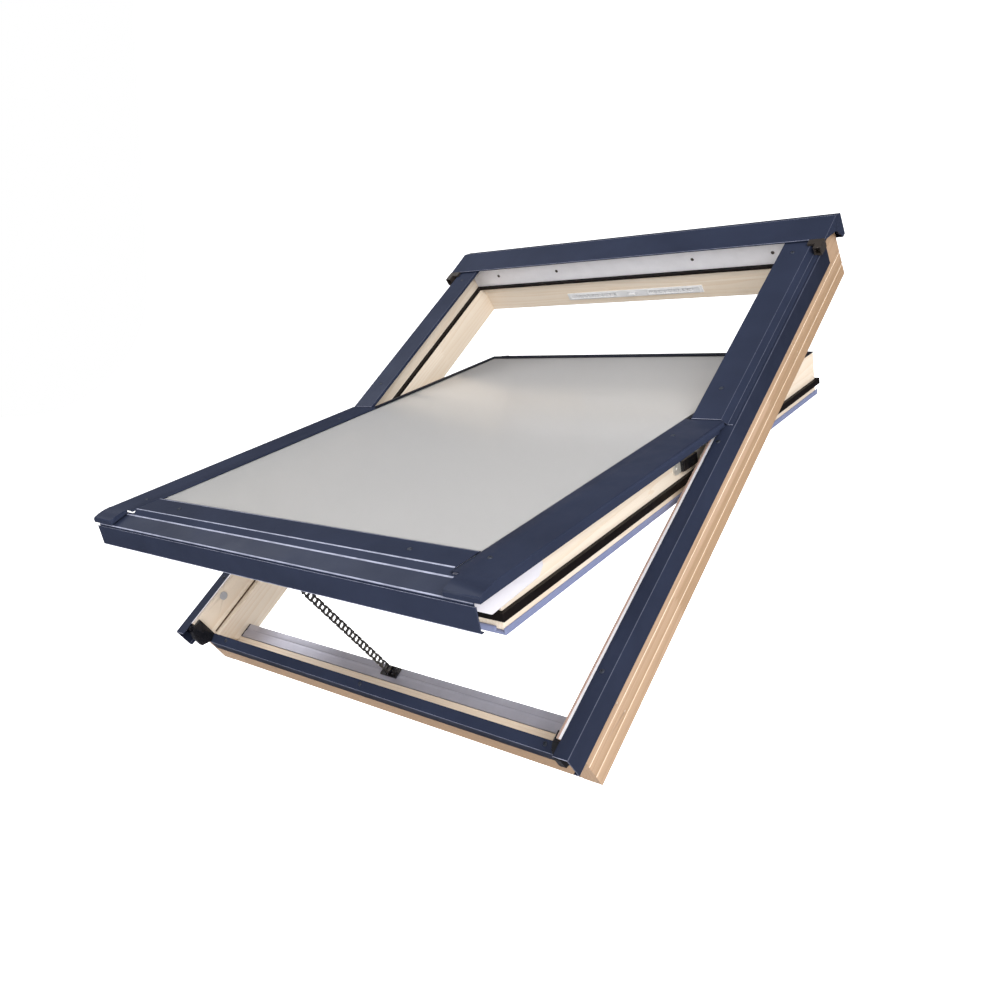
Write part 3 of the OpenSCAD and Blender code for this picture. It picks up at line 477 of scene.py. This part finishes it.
def rubber(name, colour, lean):
    """Extruded rubber on a piece at a given tilt, with a grey bloom in places."""
    material, tree, shader = surface(name, Specular_IOR_Level=0.2)
    skin = add_node(tree, "ShaderNodeGroup", node_tree=rubber_group)
    tree.links.new(tree.nodes.new("ShaderNodeTexCoord").outputs["Object"], skin.inputs["Vector"])
    tree.links.new(tilted(tree, lean, (0.06, 0.06, 1.0)), skin.inputs["Drawn"])
    bloomed = math_node(tree, "MULTIPLY", skin.outputs["Bloom"], 0.3)
    greyer = tuple(c * 1.6 + 0.005 for c in colour)
    tree.links.new(mix_colour(tree, bloomed, colour, greyer), shader.inputs["Base Color"])
    tree.links.new(spread(tree, skin.outputs["Bloom"], 0.0, 1.0, 0.52, 0.7), shader.inputs["Roughness"])
    eased(tree, shader, 0.0008, 0.00005, skin.outputs["Lines"])
    return material


SEAL_BLACK = (0.006, 0.0035, 0.003)
finish(["frame_gasket"], rubber("frame gasket rubber", SEAL_BLACK, PITCH))
finish(["lower_seal_strips"], rubber("brown strip rubber", (0.10, 0.055, 0.03), PITCH))


# ---- Jamb strips and head strip ----
# Thin anodised aluminium strips fixed along the frame's step. The jambs' strips
# are pale on top, with a brown foil on the lip and a cream one on the inner face.

metal_group, given, put = new_group("drawn metal", [("Vector", "Vector", None), ("Drawn", "Vector", None)],
                                    [("Lines", "Float"), ("Cloud", "Float")])
metal_group.links.new(noise(metal_group, given.outputs["Drawn"], 1100.0, 4.0, 0.6), put.inputs["Lines"])
cloud = spread(metal_group, noise(metal_group, given.outputs["Vector"], 35.0, 4.0), 0.35, 0.7)
metal_group.links.new(cloud, put.inputs["Cloud"])

ALL_WAYS, ALONG_X, ALONG_Y = (1.0, 1.0, 1.0), (0.03, 1.0, 1.0), (1.0, 0.03, 1.0)


def bare_metal(name, colour, rough, lean, drawn=ALL_WAYS, metallic=1.0):
    """Metal with lines drawn out along one direction, clouds in its skin and worn edges."""
    material, tree, shader = surface(name, Metallic=metallic)
    skin = add_node(tree, "ShaderNodeGroup", node_tree=metal_group)
    tree.links.new(tree.nodes.new("ShaderNodeTexCoord").outputs["Object"], skin.inputs["Vector"])
    tree.links.new(tilted(tree, lean, drawn), skin.inputs["Drawn"])
    edge = eased(tree, shader, 0.0006, 0.00002, skin.outputs["Lines"])
    clouded = math_node(tree, "MULTIPLY", skin.outputs["Cloud"], 0.4)
    base = mix_colour(tree, clouded, colour, tuple(c * 0.82 for c in colour))
    worn = math_node(tree, "MULTIPLY", edge, 0.4, clamp=True)
    base = mix_colour(tree, worn, base, tuple(min(1.0, c * 1.25 + 0.05) for c in colour))
    tree.links.new(base, shader.inputs["Base Color"])
    tree.links.new(spread(tree, skin.outputs["Lines"], 0.3, 0.7, rough, rough + 0.16),
                   shader.inputs["Roughness"])
    return material


EXTRUSION_EASE = 0.0006
STRIP_LIP, STRIP_FACE = 0.3735, 0.3712
strip_alloy = bare_metal("jamb strip alloy", (0.80, 0.79, 0.83), 0.38, PITCH, ALONG_Y, 0.15)
tree = strip_alloy.node_tree
base = tree.nodes["Principled BSDF"].inputs["Base Color"]
axes = tree.nodes.new("ShaderNodeSeparateXYZ")
tree.links.new(tilted(tree, PITCH), axes.inputs[0])
across = math_node(tree, "ABSOLUTE", axes.outputs[0])
on_lip = math_node(tree, "LESS_THAN", across, STRIP_LIP)
on_face = math_node(tree, "LESS_THAN", across, STRIP_FACE)
foiled = mix_colour(tree, on_lip, base.links[0].from_socket, (0.40, 0.27, 0.22))
tree.links.new(mix_colour(tree, on_face, foiled, (0.86, 0.76, 0.64)), base)
finish(["jamb_strips"], strip_alloy)
rounded("head_strip", "frame",
        bare_metal("pale anodised strip", (0.95, 0.94, 0.98), 0.42, PITCH, ALONG_X, 0.15),
        fold=EXTRUSION_EASE, cut=0)


# ---- Frame cladding and upper covers ----
# Coil-coated aluminium sheet, 1.2 mm, folded on a press and screwed to the wood.
# The dark blue-grey coat is satin with a faint orange peel; its folds are lightened by a painted highlight.

coat_group, given, put = new_group(
    "coil coat", [("Vector", "Vector", None)],
    [("Drift", "Float"), ("Peel", "Float"), ("Highlight Breakup", "Float"), ("Haze", "Float")])
where = given.outputs["Vector"]
coat_group.links.new(spread(coat_group, noise(coat_group, where, 7.0, 3.0), 0.35, 0.65), put.inputs["Drift"])
coat_group.links.new(noise(coat_group, where, 1400.0, 2.0), put.inputs["Peel"])
# noise that breaks up the painted fold highlight's strength
highlight_breakup = spread(coat_group, noise(coat_group, where, 60.0, 4.0), 0.3, 0.6, 0.55, 0.9)
coat_group.links.new(highlight_breakup, put.inputs["Highlight Breakup"])
coat_group.links.new(noise(coat_group, where, 24.0, 4.0), put.inputs["Haze"])


def coated_sheet(name, colour, highlight_colour=(0.40, 0.42, 0.54)):
    """Painted sheet: the colour drifts slightly, and a painted highlight, broken up by noise, lightens it at
    the folds.
    """
    material, tree, shader = surface(name, Specular_IOR_Level=0.07)
    coat = add_node(tree, "ShaderNodeGroup", node_tree=coat_group)
    tree.links.new(tree.nodes.new("ShaderNodeTexCoord").outputs["Object"], coat.inputs["Vector"])
    # painted highlight: the fold layer and that noise lighten the coat toward a pale blue-grey
    fold = add_node(tree, "ShaderNodeVertexColor", layer_name="fold")
    fold_highlight = math_node(tree, "MULTIPLY", fold.outputs["Color"], coat.outputs["Highlight Breakup"], clamp=True)
    base = mix_colour(tree, coat.outputs["Drift"], colour, tuple(c * 1.25 for c in colour))
    tree.links.new(mix_colour(tree, fold_highlight, base, highlight_colour), shader.inputs["Base Color"])
    tree.links.new(spread(tree, coat.outputs["Haze"], 0.3, 0.7, 0.34, 0.46), shader.inputs["Roughness"])
    eased(tree, shader, 0.0004, 0.00002, coat.outputs["Peel"])
    return material


slate = coated_sheet("slate-grey coated sheet", (0.022, 0.028, 0.052))
for name in ("left_side_cladding", "right_side_cladding", "rail_cladding", "top_cladding",
             "left_upper_cover", "right_upper_cover"):
    rounded(name, "frame", slate)


# ---- Cover clips, corner caps and hood blocks ----
# Black injection mouldings: clips pegged to the jambs under the upper covers, caps
# that close the cladding's foot, and brown-black blocks under the hood's ends.

black_plastic = moulded("black moulded plastic", (0.006, 0.006, 0.008), 0.20)
finish(["cover_clips"], black_plastic)
rounded("corner_caps", "frame", black_plastic, fold=0.0018, cut=0)
rounded("hood_blocks", "frame",
        moulded("brown-black moulded plastic", (0.035, 0.028, 0.024), 0.3), fold=0.0008, cut=0)


# ---- Cladding screws and head strip screws ----
# Steel screws with low cone heads and a six-lobed recess, driven through the sheet
# into the wood. The cladding's are painted dark, and the head strip's are browned.

RECESS_R, RECESS_LOBE, RECESS_STEPS = 0.00165, 0.15, 36


def star_screws(name, body, material):
    """Stands for a node of screws: the same screws with a six-lobed recess sunk in each head."""
    work = simplified(name)
    heads = [face for face in work.faces if len(face.verts) > 9 and 14e-6 < face.calc_area() < 22e-6]
    for top in heads:
        centre, normal = top.calc_center_median(), top.normal.copy()
        side = normal.orthogonal().normalized()
        other = normal.cross(side)
        rings = []
        for depth, size in ((0.0, 1.0), (0.00012, 0.93), (0.0008, 0.88)):
            ring = []
            for step in range(RECESS_STEPS):
                angle = math.tau * step / RECESS_STEPS
                reach = RECESS_R * size * (1 + RECESS_LOBE * math.cos(6 * angle))
                arm = side * math.cos(angle) + other * math.sin(angle)
                ring.append(work.verts.new(centre - normal * depth + arm * reach))
            rings.append(ring)
        rim = list(top.edges)
        work.faces.remove(top)
        lip = [work.edges.new((rings[0][i - 1], rings[0][i])) for i in range(RECESS_STEPS)]
        bmesh.ops.bridge_loops(work, edges=rim + lip)
        for high, low in zip(rings, rings[1:]):
            for i in range(RECESS_STEPS):
                work.faces.new((high[i - 1], high[i], low[i], low[i - 1]))
        work.faces.new(rings[-1])
    bmesh.ops.recalc_face_normals(work, faces=work.faces)
    built(work, name + ".star", material, body, name, 35)


painted_screw = bare_metal("painted screw head", (0.040, 0.048, 0.070), 0.32, PITCH, metallic=0.3)
star_screws("cladding_screws", "frame", painted_screw)
star_screws("head_strip_screws", "frame",
            bare_metal("browned screw", (0.10, 0.085, 0.075), 0.34, PITCH, metallic=0.5))


# ---- Frame hinge plates ----
# Zinc-plated steel pressings screwed into the jambs' rebates. Each has the bore
# that a sash hinge's pin turns in.

zinc = bare_metal("zinc-plated steel", (0.78, 0.76, 0.70), 0.30, PITCH, metallic=0.55)
finish(["left_frame_hinge", "right_frame_hinge", "frame_hinge_screws"], zinc)


# ---- Drive: housing, end plates, guide, sprocket, gear case, motor and board ----
# A square anodised tube on the bottom rail's ledge, closed by black end plates. The
# motor and gear case inside turn the sprocket that pushes the chain out of the guide.

anodised = bare_metal("anodised aluminium", (0.46, 0.46, 0.54), 0.34, PITCH, ALONG_X, 0.55)
rounded("actuator_housing", "frame", anodised, fold=EXTRUSION_EASE, cut=0)
finish(["housing_end_plates", "chain_guide", "gearbox"], black_plastic)
chain_steel = bare_metal("oiled chain steel", (0.17, 0.165, 0.16), 0.28, PITCH)
finish(["drive_sprocket"], chain_steel)
finish(["drive_motor"], bare_metal("plated motor can", (0.50, 0.50, 0.51), 0.3, PITCH))
finish(["control_board"], moulded("green board lacquer", (0.02, 0.12, 0.05), 0.25))


# ---- Sash wood: stiles and rails ----
# Pine with the same pale lacquer all over, rebated for the glass. The stiles carry
# the hinge arms on their outer sides.

LEAN = PITCH - math.radians(26.4)
for name, along, ring_width, shift in (("left_stile", "Y", 0.0040, 0.07),
                                       ("right_stile", "Y", 0.0044, 0.19),
                                       ("sash_top_rail", "X", 0.0042, 0.02),
                                       ("sash_bottom_rail", "X", 0.0038, 0.27)):
    timber = pine("pine, " + name, LEAN, along, LACQUERED, ring_width, shift)
    rounded(name, "sash", timber, fold=WOOD_EASE, cut=0)


# ---- Insulating glass unit ----
# Two 4 mm float panes held apart by an aluminium spacer and bedded on a rubber
# seal. The outer pane is coated; a pale warm diffuse share in both panes is a painted reflection that makes
# them look a soft warm grey.

# painted reflection: part of each pane scatters a pale warm colour instead of passing light
outer_glass_painted_reflection, _, _ = surface("coated outer glass, painted reflection", Base_Color=(0.95, 0.94, 0.93, 1), Roughness=0.16,
                            IOR=1.52, Transmission_Weight=0.60)
inner_glass_painted_reflection, _, _ = surface("inner glass, painted reflection", Base_Color=(0.97, 0.96, 0.945, 1), Roughness=0.30,
                            IOR=1.52, Transmission_Weight=0.75)
finish(["outer_pane"], outer_glass_painted_reflection)
finish(["inner_pane"], inner_glass_painted_reflection)
finish(["pane_spacer"], bare_metal("spacer aluminium", (0.55, 0.55, 0.57), 0.3, LEAN, metallic=0.8))
sash_rubber = rubber("sash rubber", SEAL_BLACK, LEAN)
finish(["glazing_seal"], sash_rubber)


# ---- Sash hinges, brake blocks and the chain's bracket ----
# Zinc-plated arms screwed to the stiles carry the pivot's pins, with black blocks
# that brake the sash by friction. The bracket's two ears hold the chain's eye.

finish(["left_sash_hinge", "right_sash_hinge", "sash_hinge_screws", "chain_bracket"], zinc)
finish(["brake_blocks"], black_plastic)


# ---- Sash covers, drip flap, upper trim and their carrier ----
# The same coated sheet as the frame's, folded over the sash's edges and held up
# by an aluminium angle. The trim above the pane is coated black.

COVER_FOLD, STEP_FOLD = 0.0014, 0.0011
finish(["cover_carrier"], anodised)
rounded("bottom_cover", "sash", slate, fold=STEP_FOLD)
for name in ("left_side_cover", "right_side_cover", "drip_flap"):
    rounded(name, "sash", slate, fold=COVER_FOLD)
rounded("upper_trim", "sash", coated_sheet("black coated sheet", (0.010, 0.012, 0.019)))
star_screws("sash_cover_screws", "sash", painted_screw)


# ---- Sash seal, underside strips and end pieces ----
# A ring of black rubber round the sash, lavender-grey extruded angles under its
# edges, and light grey moulded pieces that close the covers' feet.

finish(["sash_seal"], sash_rubber)
rounded("underside_strips", "sash",
        moulded("lavender-grey strip", (0.20, 0.225, 0.37), 0.30), fold=0.0010, cut=0)
end_plastic = moulded("light grey plastic", (0.72, 0.70, 0.75), 0.35)
for name in ("left_end_piece", "right_end_piece"):
    rounded(name, "sash", end_plastic, fold=0.0012, cut=0)


# ---- Opening chain: its links, pins and eye ----
# Stamped steel links on riveted pins, run from the guide's mouth to the eye under
# the sash's foot. As the sash shuts, the chain draws in toward that eye.

CHAIN_FOOT = Vector((0, -0.33613, -0.27978))
CHAIN_EYE = Vector((0, -0.49866, -0.11986))
ALONG = Vector((0, -0.71279, 0.70135))
OUT = Vector((0, 0.70135, 0.71279))
LINKS, LINK_PITCH = 24, 0.009168
PLATE_OUT, PLATE_IN, PLATE_T, PLATE_R, PLATE_WAIST = 0.00465, 0.00340, 0.0011, 0.0032, 0.0021
PIN_R, EYE_R = 0.00125, 0.0026
half_turn = [math.radians(90 - 15 * step) for step in range(13)]


def chain_at(x, y, z):
    """A point across, outward and along from the chain's foot."""
    return CHAIN_FOOT + Vector((x, 0, 0)) + OUT * y + ALONG * z


def lofted(work, rings):
    """Skins closed rings of points and caps both ends."""
    made = [[work.verts.new(point) for point in ring] for ring in rings]
    for low, high in zip(made, made[1:]):
        for i in range(len(low)):
            work.faces.new((low[i - 1], low[i], high[i], high[i - 1]))
    work.faces.new(made[0][::-1])
    work.faces.new(made[-1])


def round_ends(radius, far, near):
    """The outline of two round ends, at two distances along the chain."""
    outline = [(radius * math.sin(a), far + radius * math.cos(a)) for a in half_turn]
    return outline, [(radius * math.sin(a - math.pi), near + radius * math.cos(a - math.pi))
                     for a in half_turn]


def chain_plate(work, y, start):
    """One side plate: two round ends and a narrower waist, with stamped edges."""
    half = LINK_PITCH / 2
    far, near = round_ends(PLATE_R, half, -half)
    outline = far + [(-PLATE_WAIST, 0.0)] + near + [(PLATE_WAIST, 0.0)]
    face, edge = PLATE_T / 2, PLATE_T / 2 - 0.00022
    rings = [[chain_at(x * size, y + off, start + half + z * size) for x, z in outline]
             for off, size in ((-face, 0.93), (-edge, 1.0), (edge, 1.0), (face, 0.93))]
    lofted(work, rings)


def chain_rod(work, z, profile, across=False, sides=14):
    """A turned rod through the chain at z: (distance along itself, radius) pairs."""
    rings = []
    for off, radius in profile:
        ring = []
        for step in range(sides):
            a = math.tau * step / sides
            p, q = radius * math.cos(a), radius * math.sin(a)
            ring.append(chain_at(off, p, z + q) if across else chain_at(p, off, z + q))
        rings.append(ring)
    lofted(work, rings)


def steel_piece(name, work, replaced):
    bmesh.ops.recalc_face_normals(work, faces=work.faces)
    return built(work, name, chain_steel, "sash", replaced, 35)


def rivet(half_length):
    """A pin's profile, with its ends riveted over."""
    tip = half_length - 0.0002
    return ((-half_length, 0.0008), (-tip, PIN_R), (tip, PIN_R), (half_length, 0.0008))


work = bmesh.new()
for link in range(LINKS):
    side = PLATE_OUT if link % 2 == 0 else PLATE_IN
    for y in (-side, side):
        chain_plate(work, y, link * LINK_PITCH)
    chain_rod(work, link * LINK_PITCH, rivet(0.0058))
    chain_rod(work, link * LINK_PITCH, ((-0.0028, 0.0019), (0.0028, 0.0019)))
run, span = LINKS * LINK_PITCH, (CHAIN_EYE - CHAIN_FOOT).length
outline = sum(round_ends(EYE_R, span - 0.0020, run), [])
lofted(work, [[chain_at(x, y, z) for y, z in outline] for x in (-EYE_R, EYE_R)])
chain_rod(work, run, rivet(0.0058))
chain = steel_piece("chain.links", work, "chain_links")
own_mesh(chain)

work = bmesh.new()
chain_rod(work, span, ((-0.0027, 0.0024), (-0.0025, 0.0027), (0.0025, 0.0027), (0.0027, 0.0024)),
          across=True)
chain_rod(work, span, rivet(0.0060), across=True)
steel_piece("chain.eye", work, "chain_pins")
